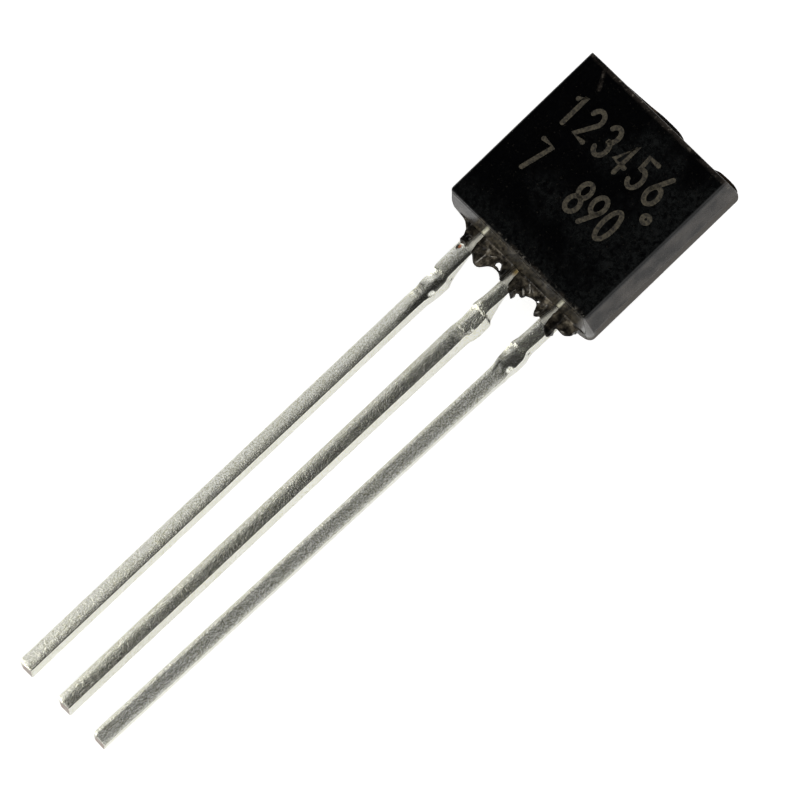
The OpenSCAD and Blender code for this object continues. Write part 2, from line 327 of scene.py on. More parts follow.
def section(left, right, lean, slope, pull, press, burr, coverage, worn_slope, worn_to):
    """Closed outline of a lead's section, from the left edge of its front to the right and round."""
    u = np.linspace(-1, 1, FRONT_STEPS + 1)
    between = (u[1:] + u[:-1]) / 2
    slope = slope + pull * np.clip(0.35 - 1.2 * between, 0, 1) - press * np.clip(between * 1.4 + 0.3, 0, 1)
    slope = slope + coverage * np.clip((worn_to - between) / 0.2, 0, 1) * (worn_slope - slope)
    steps = np.tan(np.radians(np.clip(slope, *SLOPE_LIMITS)))
    rise = np.concatenate([[0], np.cumsum(steps)]) * (right - left) / FRONT_STEPS
    front = rise - rise.max()
    front = front - burr * np.clip((u - BURR_FROM) / (1 - BURR_FROM), 0, 1)
    reach = ROLL_REACH * -front[0]
    left = left - reach
    x = left + (u + 1) / 2 * (right - FRONT_CORNER - left)
    points = list(zip(x, front))
    low = BACK_CORNER - STRIP_T
    top = front[-1] - FRONT_CORNER
    for angle in np.radians((60, 20)):
        points.append((right + FRONT_CORNER * (cos(angle) - 1), top + FRONT_CORNER * sin(angle)))
    for t in np.linspace(0, 1, 6)[1:]:
        points.append((right + lean * t, top * (1 - t) + low * t))
    for angle in np.radians((-30, -60, -90)):
        points.append((right + lean + BACK_CORNER * (cos(angle) - 1), low + BACK_CORNER * sin(angle)))
    back_right, back_left = right + lean - BACK_CORNER, left + BACK_CORNER
    for t in np.linspace(0, 1, 7)[1:]:
        points.append((back_right * (1 - t) + back_left * t, -STRIP_T))
    for angle in np.radians((-120, -150, -180)):
        points.append((back_left + BACK_CORNER * cos(angle), low + BACK_CORNER * sin(angle)))
    for t in np.linspace(0, 1, 5)[1:-1]:
        points.append((left, low * (1 - t) + (front[0] - 0.01) * t))
    return np.array(points)


def mesh_of(name, points, faces, *materials):
    mesh = bpy.data.meshes.new(name)
    mesh.from_pydata(laid(points).tolist(), [], [tuple(int(i) for i in f) for f in faces])
    for material in materials:
        mesh.materials.append(material)
    mesh.shade_smooth()
    return mesh


def object_of(name, data):
    made = bpy.data.objects.new(name, data)
    bpy.context.scene.collection.objects.link(made)
    return made


def loft(rings):
    """Faces between closed rings of points, with a cap at each end; the caps come last."""
    count = len(rings[0])
    faces = []
    for r in range(len(rings) - 1):
        a, b = r * count, (r + 1) * count
        for i in range(count):
            j = (i + 1) % count
            faces.append((a + i, b + i, b + j, a + j))
    last = (len(rings) - 1) * count
    return faces + [tuple(range(count)), tuple(range(last, last + count))[::-1]]


def field(points, grain, seed):
    """Smooth noise at each point, about -1 to 1."""
    return np.array([noise.noise(Vector(p) / grain + Vector((seed * 7.3, 0, 0))) for p in points])


lead_fronts = []


def lead(name, edges, slopes, neck, pull, press, seed, worn_to, twist=0.0, lift=0.0, ribs=0.0):
    """One lead from its tip to its end inside the body."""
    between = (np.arange(FRONT_STEPS) + 0.5) / FRONT_STEPS * 2 - 1
    shank_slope, neck_slope = (np.interp(between, *zip(*table)) for table in (slopes, neck))
    near_tip = TIP_FRONT + np.array([0, 0.006, 0.015, 0.03, 0.05, 0.075])
    ys = np.concatenate([near_tip, np.arange(TIP_FRONT + 0.1, FINE_FROM, RING_STEP),
                         np.arange(FINE_FROM, FINE_TO, FINE_RING_STEP), np.arange(FINE_TO, HIDDEN_END, 0.1)])
    rings = []
    for y in ys:
        below = 1 - eased(y, TOP_OF_SHANK, FOOT_OF_NECK)
        burr = BURR_H * band_of(y, *BURR_SPAN)
        slope = shank_slope * below + neck_slope * (1 - below)
        left, right, lean = (read_table(edges, y, k, width) for k, width in ((1, 0.02), (2, 0.02), (3, 0.03)))
        coverage, worn_slope = (read_table(burnished, y, column, 0.01) for column in (1, 2))
        ring = section(left, right, lean, slope, read_table(pull, y, 1, 0.01), read_table(press, y, 1, 0.02),
                       burr, coverage, worn_slope, worn_to)
        middle = np.array([ring[:, 0].mean(), -STRIP_T / 2])
        turn = radians(twist) * below
        spun = ring - middle
        spun = middle + np.stack([spun[:, 0] * cos(turn) + spun[:, 1] * sin(turn),
                                  spun[:, 1] * cos(turn) - spun[:, 0] * sin(turn)], 1)
        rounding = 1 - 0.05 * max(0.0, 1 - (y - TIP_FRONT) / 0.03) ** 2
        spun = middle + (spun - middle) * rounding
        to_go = 1 - min(1.0, (y - TIP_FRONT) / TIP_CORNER)
        off_middle = (middle[0] - spun[:, 0]) / (middle[0] - spun[:, 0].min())
        spun[:, 0] += TIP_CORNER * (1 - sqrt(1 - to_go ** 2)) * np.clip(off_middle, 0, 1)
        depth = np.clip(-spun[:, 1] / STRIP_T, 0, 1)
        slant = -TIP_SLANT * depth * (1 - eased(y, TIP_FRONT, TIP_FRONT + 0.4))
        rings.append(np.stack([spun[:, 0], y + slant, STRIP_FRONT + spun[:, 1] + lift * below], 1))
    lead_fronts.append((ys, np.array(rings)[:, :FRONT_STEPS + 1]))
    points = np.concatenate(rings)
    count = len(rings[0])
    centre = np.repeat([r.mean(0) for r in rings], count, axis=0)
    outward = points - centre
    outward[:, 1] = 0
    outward /= np.linalg.norm(outward, axis=1)[:, None] + 1e-9
    dam = band_of(points[:, 1], *DAM_SPAN)
    wave = field(points, HAMMER_GRAIN, seed) + 0.8 * field(points, 4 * HAMMER_GRAIN, seed + 5)
    wave += 0.35 * dam * field(points, 0.5 * HAMMER_GRAIN, seed + 9)
    wave += ribs * dam * np.sin(points[:, 1] * 2 * pi / RIB_SPACING + 2 * wave)
    sunk = np.minimum(0, HAMMER * wave - 0.6 * HAMMER)
    points = points + outward * sunk[:, None]
    mesh = mesh_of(name, points, loft(rings), tin, cut_end)
    mesh.polygons[len(mesh.polygons) - 2].material_index = 1
    mesh.set_sharp_from_angle(angle=LEAD_SHARP)
    return object_of(name, mesh)


tin = tin_plate()
cut_end = bare_end()
leads = [
    lead("emitter_leg", emitter_edges, emitter_slopes, emitter_neck, emitter_pull, emitter_press, 1, 0.1),
    lead("base_leg", base_edges, base_slopes, base_neck, base_pull, base_press, 2, -0.6, ribs=0.25),
    lead("collector_leg", collector_edges, collector_slopes, collector_neck, collector_pull, collector_press,
         3, -0.25, twist=13, lift=0.038),
]
for piece in leads:
    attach(piece, "root")
    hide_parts(piece.name.replace("_leg", "_lead"))

# --- Moulded body -----------------------------------------------------
# One shot of black epoxy compound. The front half tapers to the flat and the rear half is a round
# back. They meet at the parting line, in the plane of the strip's front face.
PARTING = STRIP_FRONT
SIDE_FLARE = 0.053
FOOT_FLARE = 0.154
HEAD_FLARE = 0.096
REAR_SIDE_R = 3.3
REAR_SIDE_DRAFT = radians(5.5)
SHOULDER = radians(50)
REAR_END_DRAFT = radians(2)
SIDE_EDGE_R = 0.07
HALF_W = FLAT_W / 2 + SIDE_FLARE
SEAM_LIP = 0.006
# The flat lies this much low, so that the marking on it comes level
MARK_SUNK = 0.004
BLEED_MIDDLE = 0.46
BLEED_HALF_W = 1.73
RUN_LEAN = 0.37
SEAM_DEPTHS = (0.872, 0.884)
BLEED_LEVELS = [(0.35, 1.0), (0.5, 0.7), (1.2, 0.7), (1.4, 1.0)]
# Where the painted reflections of the two outer leads stand on the lead end's wall
LEAD_REFLECTION_AT = (-0.9, 1.53)
RESIN_LEVELS = [
    (-1.3, 0.5), (-1.15, 0.8), (-1.0, 1.15), (-0.5, 1.9), (-0.35, 0.45), (0.25, 0.6), (0.4, 1.5),
    (0.95, 1.3), (1.1, 0.75), (1.5, 0.7), (1.6, 1.2),
]
SCUFFS = [(-1.43 - 0.26 * t, 3.81 + 0.45 * t, 0) for t in np.linspace(0, 1, 13)] + [(2.1, 4.25, 0)]
FLAT_COLUMNS = 40
TUBE_RINGS = 40
# Rounding of the vertical corners by depth: near sharp in front, full at the seam
FOOT_CORNERS = [
    (-3.5, 0.1), (-0.95, 0.15), (-0.875, 0.15), (-0.77, 0.09), (-0.6, 0.06), (-0.12, 0.075), (-0.04, 0.085),
    (0, 0.022),
]
HEAD_CORNERS = [(-3.5, 0.06), (-0.95, 0.05), (-0.875, 0.08), (-0.77, 0.05), (-0.6, 0.03), (0, 0.015)]


def body_profile():
    """Right half of the section across the leads: (x, z, outward normal x, z), flat to back."""
    draft = atan(SIDE_FLARE / -PARTING)
    edge_x = FLAT_W / 2 - SIDE_EDGE_R * (1 - sin(draft)) / cos(draft)
    rows = [(x, -MARK_SUNK, 0.0, 1.0) for x in np.linspace(0, edge_x, FLAT_COLUMNS + 1)]
    for angle in np.linspace(pi / 2, draft, 7)[1:]:
        rows.append((edge_x + SIDE_EDGE_R * cos(angle), SIDE_EDGE_R * (sin(angle) - 1),
                     cos(angle), sin(angle)))
    top_x, top_z = rows[-1][:2]
    for t in np.linspace(0, 1, 13)[1:]:
        rows.append((top_x + (HALF_W - top_x) * t, top_z + (PARTING + 0.01 - top_z) * t,
                     cos(draft), sin(draft)))
    centre_x = HALF_W - SEAM_LIP - REAR_SIDE_R * cos(REAR_SIDE_DRAFT)
    centre_z = REAR_SIDE_R * sin(REAR_SIDE_DRAFT) + PARTING
    for angle in np.linspace(REAR_SIDE_DRAFT, SHOULDER, 22):
        rows.append((centre_x + REAR_SIDE_R * cos(angle), centre_z - REAR_SIDE_R * sin(angle),
                     cos(angle), -sin(angle)))
    back_r = rows[-1][0] / cos(SHOULDER)
    back_z = rows[-1][1] + back_r * sin(SHOULDER)
    for angle in np.linspace(SHOULDER, pi / 2, 18)[1:]:
        rows.append((back_r * cos(angle), back_z - back_r * sin(angle), cos(angle), -sin(angle)))
    return np.array(rows)


def end_y(z, flare, height):
    """Distance along the body of an end face at depth z: out to the seam and in again behind it."""
    behind = np.maximum(0, PARTING - np.asarray(z, float)) * tan(REAR_END_DRAFT)
    return height + flare * np.clip(np.asarray(z, float) / PARTING, 0, 1) - np.sign(flare) * behind


def epoxy():
    """Transfer-moulded epoxy: near black on the flat, greyer on the walls, matte behind the seam."""
    material, shader, at = new_material("black_epoxy")
    side, height, depth = (reach_mm(at, way) for way in (across, along, -out_of_flat))
    # The flat, with grey wax smears, more of them on its right, and specks
    leaning = calc("MULTIPLY_ADD", side, 0.09, noise_at(at, 0.9))
    patch = span(leaning, 0.46, 0.68, 0.1, 1.0)
    patch = lighter(patch, span(height, 0.3, 0.75, 0.7, 0.0))
    wisps = span(noise_at(at, 1 / 9, 6.0, 0.75, Distortion=0.6), 0.38, 0.68)
    smear = times(patch, wisps)
    specks = span(noise_at(at, 0.05, 2.0), 0.64, 0.76)
    tone = blend(smear, "#020203", "#1a1c1c")
    tone = blend(specks, tone, "#24211d")
    rough = span(smear, 0.0, 0.8, 0.2, 0.34)
    # Its foot edge is chipped brown, with pale flecks that are partly wear and partly a painted highlight of
    # the rounded edge
    foot_edge = ramp(height, [(0.0, 1.0), (0.05, 0.8), (0.11, 0.0)])
    foot_edge = times(foot_edge, levels_across(side, [(-1.12, 0.0), (-0.56, 1.0)]))
    chipped = span(noise_at(at, 0.16, 5.0, 0.7), 0.43, 0.6)
    tone = blend(times(foot_edge, chipped), tone, "#332e28")
    flecks = span(noise_at(at, 0.07), 0.56, 0.72)
    tone = blend(times(foot_edge, flecks), tone, "#77736b")
    # The walls, and the resin film that bled up the lead end between the outer leads
    walls = span(depth, 0.08, 0.16)
    clouds = span(noise_at(at, 0.6, 4.0), 0.4, 0.65)
    tone = blend(walls, tone, blend(clouds, "#15110d", "#443e37"))
    rising = calc("MULTIPLY_ADD", depth, RUN_LEAN, side)
    run = add(at.id_data, "ShaderNodeCombineXYZ", X=rising, Y=calc("MULTIPLY", depth, 0.25)).outputs[0]
    off_middle = calc("ABSOLUTE", calc("SUBTRACT", rising, BLEED_MIDDLE))
    ragged = calc("MULTIPLY_ADD", noise_at(at, 0.2), 0.25, off_middle)
    ragged = calc("MULTIPLY", ragged, 0.25)
    edge = (BLEED_HALF_W + 0.12) / 4
    lead_end = span(height, 0.0, 0.02, 1.0, 0.0)
    bled = times(lead_end, span(ragged, edge - 0.02, edge + 0.01, 1.0, 0.0))
    rear = span(depth, *SEAM_DEPTHS)
    bled = blend(rear, bled, 0.0)
    mottle = noise_at(run, 0.08, 4.0, 0.65)
    mottle = ramp(mottle, [(0.38, "#120f0c"), (0.64, "#5f584a")])
    broad = span(noise_at(at, 0.35, 2.0), 0.4, 0.6, 0.45, 1.0)
    broad = times(broad, levels_across(rising, BLEED_LEVELS))
    tone = blend(bled, tone, times(mottle, broad))
    rough = blend(bled, rough, 0.45)
    # Painted reflections of the two outer leads on it: pale, shiny streaks above those leads, leaning to the
    # right as they rise
    coverage = span(noise_at(run, 0.07), 0.35, 0.5, 0.5, 1.0)
    pale = ramp(depth, [(0.0, "#3c3a30"), (0.2, "#cfcbb0"), (0.35, "#fffce4"), (0.72, "#fffce0"),
                        (0.82, "#6b6546")])
    painted_reflection_mask = 0.0
    for streak_x in LEAD_REFLECTION_AT:
        off = calc("ABSOLUTE", calc("SUBTRACT", rising, streak_x))
        band = ramp(off, [(0.018, 1.0), (0.04, 0.45), (0.06, 0.0)])
        band = times(times(band, coverage), bled)
        tone = blend(band, tone, pale)
        painted_reflection_mask = lighter(band, painted_reflection_mask)
        rough = blend(band, rough, 0.15)
    # The right corner is painted paler, as a painted reflection
    corner_reflection = span(calc("MULTIPLY", rising, 0.4), 0.84, 0.88, 0.0, 0.7)
    tone = blend(times(corner_reflection, lead_end), tone, "#8d8b88")
    # The flat's head edge is scuffed brownish, and paler by its left corner
    rim = span(calc("SUBTRACT", height, FLAT_H - 1), 0.88, 0.97)
    rim = times(rim, span(noise_at(at, 0.3, 5.0, 0.65), 0.4, 0.62, 0.05, 0.85))
    for scuff in SCUFFS:
        rim = lighter(rim, times(close_to(at, scuff, 0.005, 0.06), wisps))
    tone = blend(rim, tone, "#3f3934")
    # Its pale flecks are partly wear and partly a painted highlight of the rounded edge
    tone = blend(times(rim, flecks), tone, "#8a8377")
    # The rear cavity was left matte, except next to the seam at the foot. Its paler grey is partly that matte
    # finish and partly painted sheen, in place of the shine that its low specular level takes away
    deeper = span(calc("MULTIPLY", depth, 0.25), 0.25, 0.31)
    rear = times(rear, lighter(span(height, 0.0, 0.1), deeper))
    tone = blend(rear, tone, "#57524c")
    rough = blend(rear, rough, 0.5)
    # So was the head's end, which hardly shines, except at its right corner
    patchy = span(noise_at(run, 0.12, 4.0, 0.6), 0.38, 0.64, 0.03, 0.38)
    sheen = blend(bled, blend(clouds, 0.43, 0.56), patchy)
    sheen = blend(painted_reflection_mask, blend(rear, sheen, 0.12), 1.0)
    beyond = calc("SUBTRACT", height, FLAT_H)
    dull = times(span(beyond, 0.0, 0.006), span(side, 0.7, 1.0, 1.0, 0.0))
    sheen = blend(dull, sheen, 0.08)
    bump = bumped(noise_at(at, 0.05), 0.006, 0.3)
    plug(shader, Base_Color=tone, Roughness=rough, Specular_IOR_Level=sheen, IOR=1.45, Normal=bump)
    return material


def cull_resin(name, tones, sheen):
    """Resin that set in thin films and broke: glassy and brown-black."""
    material, shader, at = new_material(name)
    cloud = noise_at(at, 0.17, 4.0, 0.62)
    broad = span(noise_at(at, 0.3, 2.0), 0.38, 0.62, 0.5, 1.3)
    # Paler towards the body and midway between the leads, darker outwards; by the body this is partly a
    # painted highlight along the parting line
    outward = calc("ADD", reach_mm(at, along), 0.8)
    towards = ramp(outward, [(0.2, 0.75), (0.35, 0.95), (0.48, 1.4), (0.62, 1.3)])
    midway = levels_across(reach_mm(at, across), RESIN_LEVELS)
    broad = times(times(broad, towards), midway)
    tone = ramp(cloud, list(zip((0.36, 0.5, 0.68), tones)))
    bump = bumped(noise_at(at, 0.05, 3.0, 0.6), 0.015, 0.5)
    plug(shader, Base_Color=times(tone, broad), Specular_IOR_Level=sheen, Roughness=0.24, IOR=1.5,
         Normal=bump)
    return material


def housing_mesh():
    profile = body_profile()
    left = profile[1:-1][::-1] * np.array([-1, 1, -1, 1])
    loop = np.concatenate([profile, left])
    count = len(loop)
    ends = []
    for flare, height, sign, corners in ((-FOOT_FLARE, 0.0, 1, FOOT_CORNERS),
                                         (HEAD_FLARE, FLAT_H, -1, HEAD_CORNERS)):
        radius = np.interp(loop[:, 1], *zip(*corners))
        end = []
        for turn in np.radians([0, 15, 30, 45, 60, 75, 90]):
            inset = radius * (1 - cos(turn))
            x = loop[:, 0] - loop[:, 2] * inset
            z = loop[:, 1] - loop[:, 3] * inset
            end.append(np.stack([x, end_y(z, flare, height) + sign * radius * (1 - sin(turn)), z], 1))
        ends.append(end)
    foot, head = ends
    middle = [foot[0] * (1 - t) + head[0] * t for t in np.linspace(0, 1, TUBE_RINGS + 1)[1:-1]]
    tube = foot[::-1] + middle + head
    points = list(np.concatenate(tube))
    faces = loft(tube)[:-2]
    # Each end is filled with rows between its left and right rim
    columns = 2 * FLAT_COLUMNS
    last = (len(tube) - 1) * count
    for base, flare, height, flip in ((0, -FOOT_FLARE, 0.0, False), (last, HEAD_FLARE, FLAT_H, True)):
        above = [base + i % count for i in range(-FLAT_COLUMNS, FLAT_COLUMNS + 1)]
        for i in range(FLAT_COLUMNS + 1, len(profile)):
            row = [base + i] * (columns + 1)
            if i < len(profile) - 1:
                a, b = points[base + count - i], points[base + i]
                row = [base + count - i]
                for c in range(1, columns):
                    p = a + (b - a) * c / columns
                    p[1] = end_y(p[2], flare, height)
                    row.append(len(points))
                    points.append(p)
                row.append(base + i)
            for c in range(columns):
                corners = list(dict.fromkeys([above[c], above[c + 1], row[c + 1], row[c]]))
                faces.append(tuple(corners if flip else corners[::-1]))
            above = row
    return mesh_of("housing", np.array(points), faces, black_epoxy)


black_epoxy = epoxy()
resin = cull_resin("broken_resin", ("#12100e", "#38332b", "#7a7263"), 0.5)
# The faces by the sheets' free edges get a darker resin: painted shade of the broken edges
shaded_resin_edge = cull_resin("resin_edge_painted_shade", ("#0b0908", "#1c1712", "#2f2820"), 0.3)
# The ridge crests get a pale resin: painted glints
ridge_glint_resin = cull_resin("resin_ridge_painted_glint", ("#57534b", "#a19b90", "#dcd8cd"), 0.5)
seam_resin = cull_resin("parting_line_resin", ("#0f0c09", "#241c15", "#382d22"), 0.1)
housing = object_of("housing", housing_mesh())
weighted = housing.modifiers.new("true_flats", "WEIGHTED_NORMAL")
weighted.keep_sharp = True

# Resin that ran out over the strip as far as the dam bar and broke off, seen from the flat. It left
# a bare streak down the middle of each lead's root.
SHEET_STEP = 0.016
SHEET_T = 0.2
FILM_T = 0.01
SCALLOP = 0.22
CHIP_DEPTH = 0.05
FILLET_H = 0.06
EDGE_W = 0.018
CREST_H = 0.012
SUNK = 0.004
ROOT_SPAN = (-0.3, -0.2)
RESIN_SHARP = radians(50)
flash_outlines = {
    "flash_left": [
        (-1.3, -0.05), (-1.9, -0.05), (-1.88, -0.165), (-1.77, -0.19), (-1.71, -0.21), (-1.65, -0.25),
        (-1.6, -0.29), (-1.56, -0.335), (-1.535, -0.38), (-1.505, -0.44), (-1.505, -0.52),
        (-1.505, -0.58), (-1.49, -0.61), (-1.45, -0.615), (-1.42, -0.6), (-1.38, -0.585), (-1.33, -0.6),
        (-1.32, -0.61), (-1.31, -0.55), (-1.335, -0.5), (-1.33, -0.45), (-1.31, -0.4), (-1.32, -0.33),
        (-1.31, -0.25), (-1.305, -0.18)],
    "flash_left_web": [
        (-0.15, -0.05), (-1.165, -0.05), (-1.155, -0.2), (-1.15, -0.3), (-1.155, -0.38), (-1.13, -0.45),
        (-1.12, -0.52), (-1.105, -0.58), (-1.08, -0.63), (-1.05, -0.62), (-1.0, -0.66), (-0.95, -0.7),
        (-0.9, -0.735), (-0.85, -0.748), (-0.78, -0.745), (-0.72, -0.71), (-0.68, -0.66), (-0.64, -0.61),
        (-0.6, -0.565), (-0.55, -0.53), (-0.5, -0.507), (-0.4, -0.5), (-0.32, -0.508), (-0.25, -0.545),
        (-0.195, -0.59), (-0.19, -0.6), (-0.185, -0.52), (-0.18, -0.45), (-0.17, -0.38), (-0.16, -0.32),
        (-0.16, -0.26), (-0.155, -0.18)],
    "flash_right_web": [
        (1.115, -0.05), (-0.13, -0.05), (-0.12, -0.16), (0.0, -0.175), (0.01, -0.28), (0.01, -0.35),
        (0.025, -0.42), (0.03, -0.5), (0.05, -0.56), (0.09, -0.6), (0.12, -0.655), (0.16, -0.68),
        (0.2, -0.665), (0.25, -0.7), (0.285, -0.725), (0.31, -0.7), (0.312, -0.62), (0.32, -0.55),
        (0.36, -0.53), (0.42, -0.555), (0.47, -0.545), (0.5, -0.505), (0.51, -0.455), (0.56, -0.43),
        (0.62, -0.405), (0.7, -0.388), (0.77, -0.39), (0.8, -0.407), (0.84, -0.44), (0.87, -0.49),
        (0.9, -0.56), (0.93, -0.615), (0.965, -0.645), (1.0, -0.63), (1.04, -0.6), (1.06, -0.575),
        (1.07, -0.5), (1.085, -0.42), (1.1, -0.37), (1.115, -0.335), (1.12, -0.28), (1.125, -0.22),
        (1.12, -0.16)],
    "flash_right": [
        (1.92, -0.05), (1.24, -0.05), (1.26, -0.18), (1.27, -0.25), (1.25, -0.32), (1.265, -0.38),
        (1.27, -0.46), (1.29, -0.56), (1.31, -0.62), (1.315, -0.68), (1.37, -0.73), (1.45, -0.765),
        (1.52, -0.775), (1.55, -0.74), (1.555, -0.7), (1.55, -0.64), (1.535, -0.58), (1.53, -0.52),
        (1.55, -0.49), (1.6, -0.495), (1.66, -0.5), (1.74, -0.5), (1.8, -0.48), (1.85, -0.44),
        (1.89, -0.4), (1.905, -0.36), (1.885, -0.32), (1.9, -0.27), (1.88, -0.24), (1.925, -0.22),
        (1.93, -0.16)],
}
flash_holes = {
    "flash_left": [[
        (-1.395, -0.42), (-1.37, -0.44), (-1.345, -0.42), (-1.355, -0.39), (-1.385, -0.39)]],
    "flash_left_web": [[
        (-0.5, -0.44), (-0.51, -0.38), (-0.48, -0.335), (-0.42, -0.325), (-0.38, -0.36), (-0.36, -0.4),
        (-0.33, -0.45), (-0.36, -0.46), (-0.4, -0.435), (-0.44, -0.43)]],
    "flash_right_web": [[
        (0.775, -0.375), (0.79, -0.335), (0.835, -0.335), (0.825, -0.37)]],
}

# Ridges that stand on the sheets: start, end, width and height
flash_ridges = [
    ((-0.84, -0.69), (-0.82, -0.42), 0.011, 0.022), ((-0.71, -0.365), (-0.6, -0.285), 0.011, 0.02),
    ((-0.96, -0.5), (-0.9, -0.42), 0.02, 0.012), ((0.37, -0.38), (0.475, -0.47), 0.02, 0.03),
    ((0.53, -0.34), (0.39, -0.2), 0.016, 0.02), ((0.97, -0.56), (0.99, -0.5), 0.022, 0.02),
    ((0.22, -0.62), (0.25, -0.5), 0.02, 0.014), ((1.68, -0.46), (1.74, -0.44), 0.02, 0.016),
]


def resampled(corners, step):
    """A closed outline with points no further apart than step."""
    points = []
    for a, b in zip(corners, corners[1:] + corners[:1]):
        a, b = np.array(a, float), np.array(b, float)
        pieces = max(1, int(np.ceil(np.linalg.norm(b - a) / step)))
        points += [a + (b - a) * k / pieces for k in range(pieces)]
    return np.array(points)


def inside(points, outline):
    """Which points lie inside a closed outline."""
    x, y = points[:, 0, None], points[:, 1, None]
    a, b = outline, np.roll(outline, -1, axis=0)
    straddles = (a[:, 1] > y) != (b[:, 1] > y)
    with np.errstate(divide="ignore", invalid="ignore"):
        crossing = a[:, 0] + (y - a[:, 1]) * (b[:, 0] - a[:, 0]) / (b[:, 1] - a[:, 1])
    return (straddles & (x < crossing)).sum(axis=1) % 2 == 1


def within(points, rim, holes):
    """Which points lie inside an outline and outside its holes."""
    wanted = inside(points, rim)
    for hole in holes:
        wanted &= ~inside(points, hole)
    return wanted


def gap_to(points, outline):
    """Distance of each point from the nearest point of an outline."""
    return np.sqrt(((points[:, None, :] - outline[None, :, :]) ** 2).sum(-1)).min(1)


def front_under(spots):
    """Metal under each point, from the strip's front, or nan beside the leads, and the way to them."""
    heights = np.full(len(spots), np.nan)
    aside = np.full(len(spots), 1.0)
    for ys, rows in lead_fronts:
        for k, (x, y) in enumerate(spots):
            row = rows[min(np.searchsorted(ys, y), len(ys) - 1)]
            aside[k] = min(aside[k], max(row[0, 0] - x, x - row[-1, 0], 0.0))
            if row[0, 0] < x < row[-1, 0]:
                heights[k] = np.interp(x, row[:, 0], row[:, 2]) - STRIP_FRONT
    return heights, aside


def ridge_at(spots, start, end, width, height):
    """Height of a rounded ridge between two places."""
    start, way = np.array(start), np.array(end) - np.array(start)
    t = np.clip((spots - start) @ way / (way @ way), 0, 1)
    off = np.linalg.norm(spots - start - t[:, None] * way, axis=1)
    return height * np.exp(-(off / width) ** 2)


def flash_sheet(name, outline, holes, seed):
    """A broken sheet of resin of the strip's thickness, with a shelled upper face."""
    rim = resampled(outline, SHEET_STEP)
    hole_rims = [resampled(hole, SHEET_STEP) for hole in holes]
    low, high = rim.min(0), rim.max(0)
    xs, ys = np.arange(low[0], high[0], SHEET_STEP), np.arange(low[1], high[1], SHEET_STEP)
    grid = np.array([(x + (k % 2) * SHEET_STEP / 2, y) for k, y in enumerate(ys) for x in xs])
    every_rim = np.concatenate([rim] + hole_rims)
    keep = within(grid, rim, hole_rims) & (gap_to(grid, every_rim) > 0.6 * SHEET_STEP)
    flat_points = np.concatenate([every_rim, grid[keep]])
    edges, start = [], 0
    for loop in [rim] + hole_rims:
        edges += [(start + k, start + (k + 1) % len(loop)) for k in range(len(loop))]
        start += len(loop)
    spots, _, triangles, _, _, _ = delaunay_2d_cdt([Vector(p) for p in flat_points], edges, [], 0, 1e-7)
    spots = np.array([tuple(p) for p in spots])
    middles = np.array([spots[list(t)].mean(0) for t in triangles])
    triangles = [t for t, wanted in zip(triangles, within(middles, rim, hole_rims)) if wanted]
    # Upper face: flush with the strip, with shell-shaped chips and a few standing ridges
    free = [p for loop in [rim] + hole_rims
            for p, ahead in zip(loop, np.roll(loop, -2, axis=0) - np.roll(loop, 2, axis=0))
            if abs(ahead[0]) > 0.6 * np.linalg.norm(ahead) and p[1] < -0.3]
    gap = gap_to(spots, np.array(free + [p for loop in hole_rims for p in loop]))
    seats = [Vector((p[0], p[1] * 0.8, seed)) / SCALLOP for p in spots]
    cells = np.array([noise.voronoi(seat, distance_metric="DISTANCE")[0][0] for seat in seats])
    fine = field(np.column_stack([spots, np.zeros(len(spots))]), 0.07, seed)
    metal, aside = front_under(spots)
    off_root = 1 - eased(spots[:, 1], *ROOT_SPAN)
    chips = -CHIP_DEPTH * np.clip(1 - 2.2 * cells, 0, 1) * eased(aside, 0.0, 0.1) * off_root
    fillet = FILLET_H * (0.7 + 0.6 * fine) * np.clip((spots[:, 1] + 0.2) / 0.08, 0, 1) ** 2
    beside = chips + 0.006 * fine - SUNK - 0.015 * (1 - eased(gap, 0, 0.03))
    beside = beside + 0.012 * (1 - eased(aside, 0, 0.04)) + fillet
    film = metal + FILM_T + (-metal - SUNK) * eased(gap, 0.0, 0.05) + 0.004 * fine
    film = film - 0.02 * (1 - eased(gap, 0, 0.02))
    crest = sum(ridge_at(spots, *ridge) for ridge in flash_ridges)
    top = STRIP_FRONT + np.where(np.isnan(metal), beside, film) + crest
    under = np.where(np.isnan(metal), top - 0.02 - SHEET_T * eased(gap, 0, 0.2), STRIP_FRONT + metal - 0.05)
    points = np.concatenate([np.column_stack([spots, top]), np.column_stack([spots, under])])
    n = len(spots)
    faces = [t if signed(spots, t) > 0 else t[::-1] for t in map(tuple, triangles)]
    sides = {}
    for t in faces:
        for k in range(3):
            sides[(t[k], t[(k + 1) % 3])] = True
    walls = [(b, a, a + n, b + n) for a, b in sides if (b, a) not in sides]
    faces = faces + [tuple(i + n for i in t[::-1]) for t in faces] + walls
    mesh = mesh_of(name, points, faces, resin, shaded_resin_edge, ridge_glint_resin)
    for polygon, corners in zip(mesh.polygons, faces):
        # Ridge crests get the painted glint
        if crest[[i % n for i in corners]].mean() > CREST_H:
            polygon.material_index = 2
        # Faces by the free edges get the painted shade
        elif gap[[i % n for i in corners]].mean() < EDGE_W:
            polygon.material_index = 1
    mesh.set_sharp_from_angle(angle=RESIN_SHARP)
    return object_of(name, mesh)


def signed(spots, t):
    a, b, c = spots[t[0]], spots[t[1]], spots[t[2]]
    return (b[0] - a[0]) * (c[1] - a[1]) - (b[1] - a[1]) * (c[0] - a[0])


body_pieces = [housing]
for seed, (name, outline) in enumerate(flash_outlines.items(), 1):
    body_pieces.append(flash_sheet(name, outline, flash_holes.get(name, []), seed))

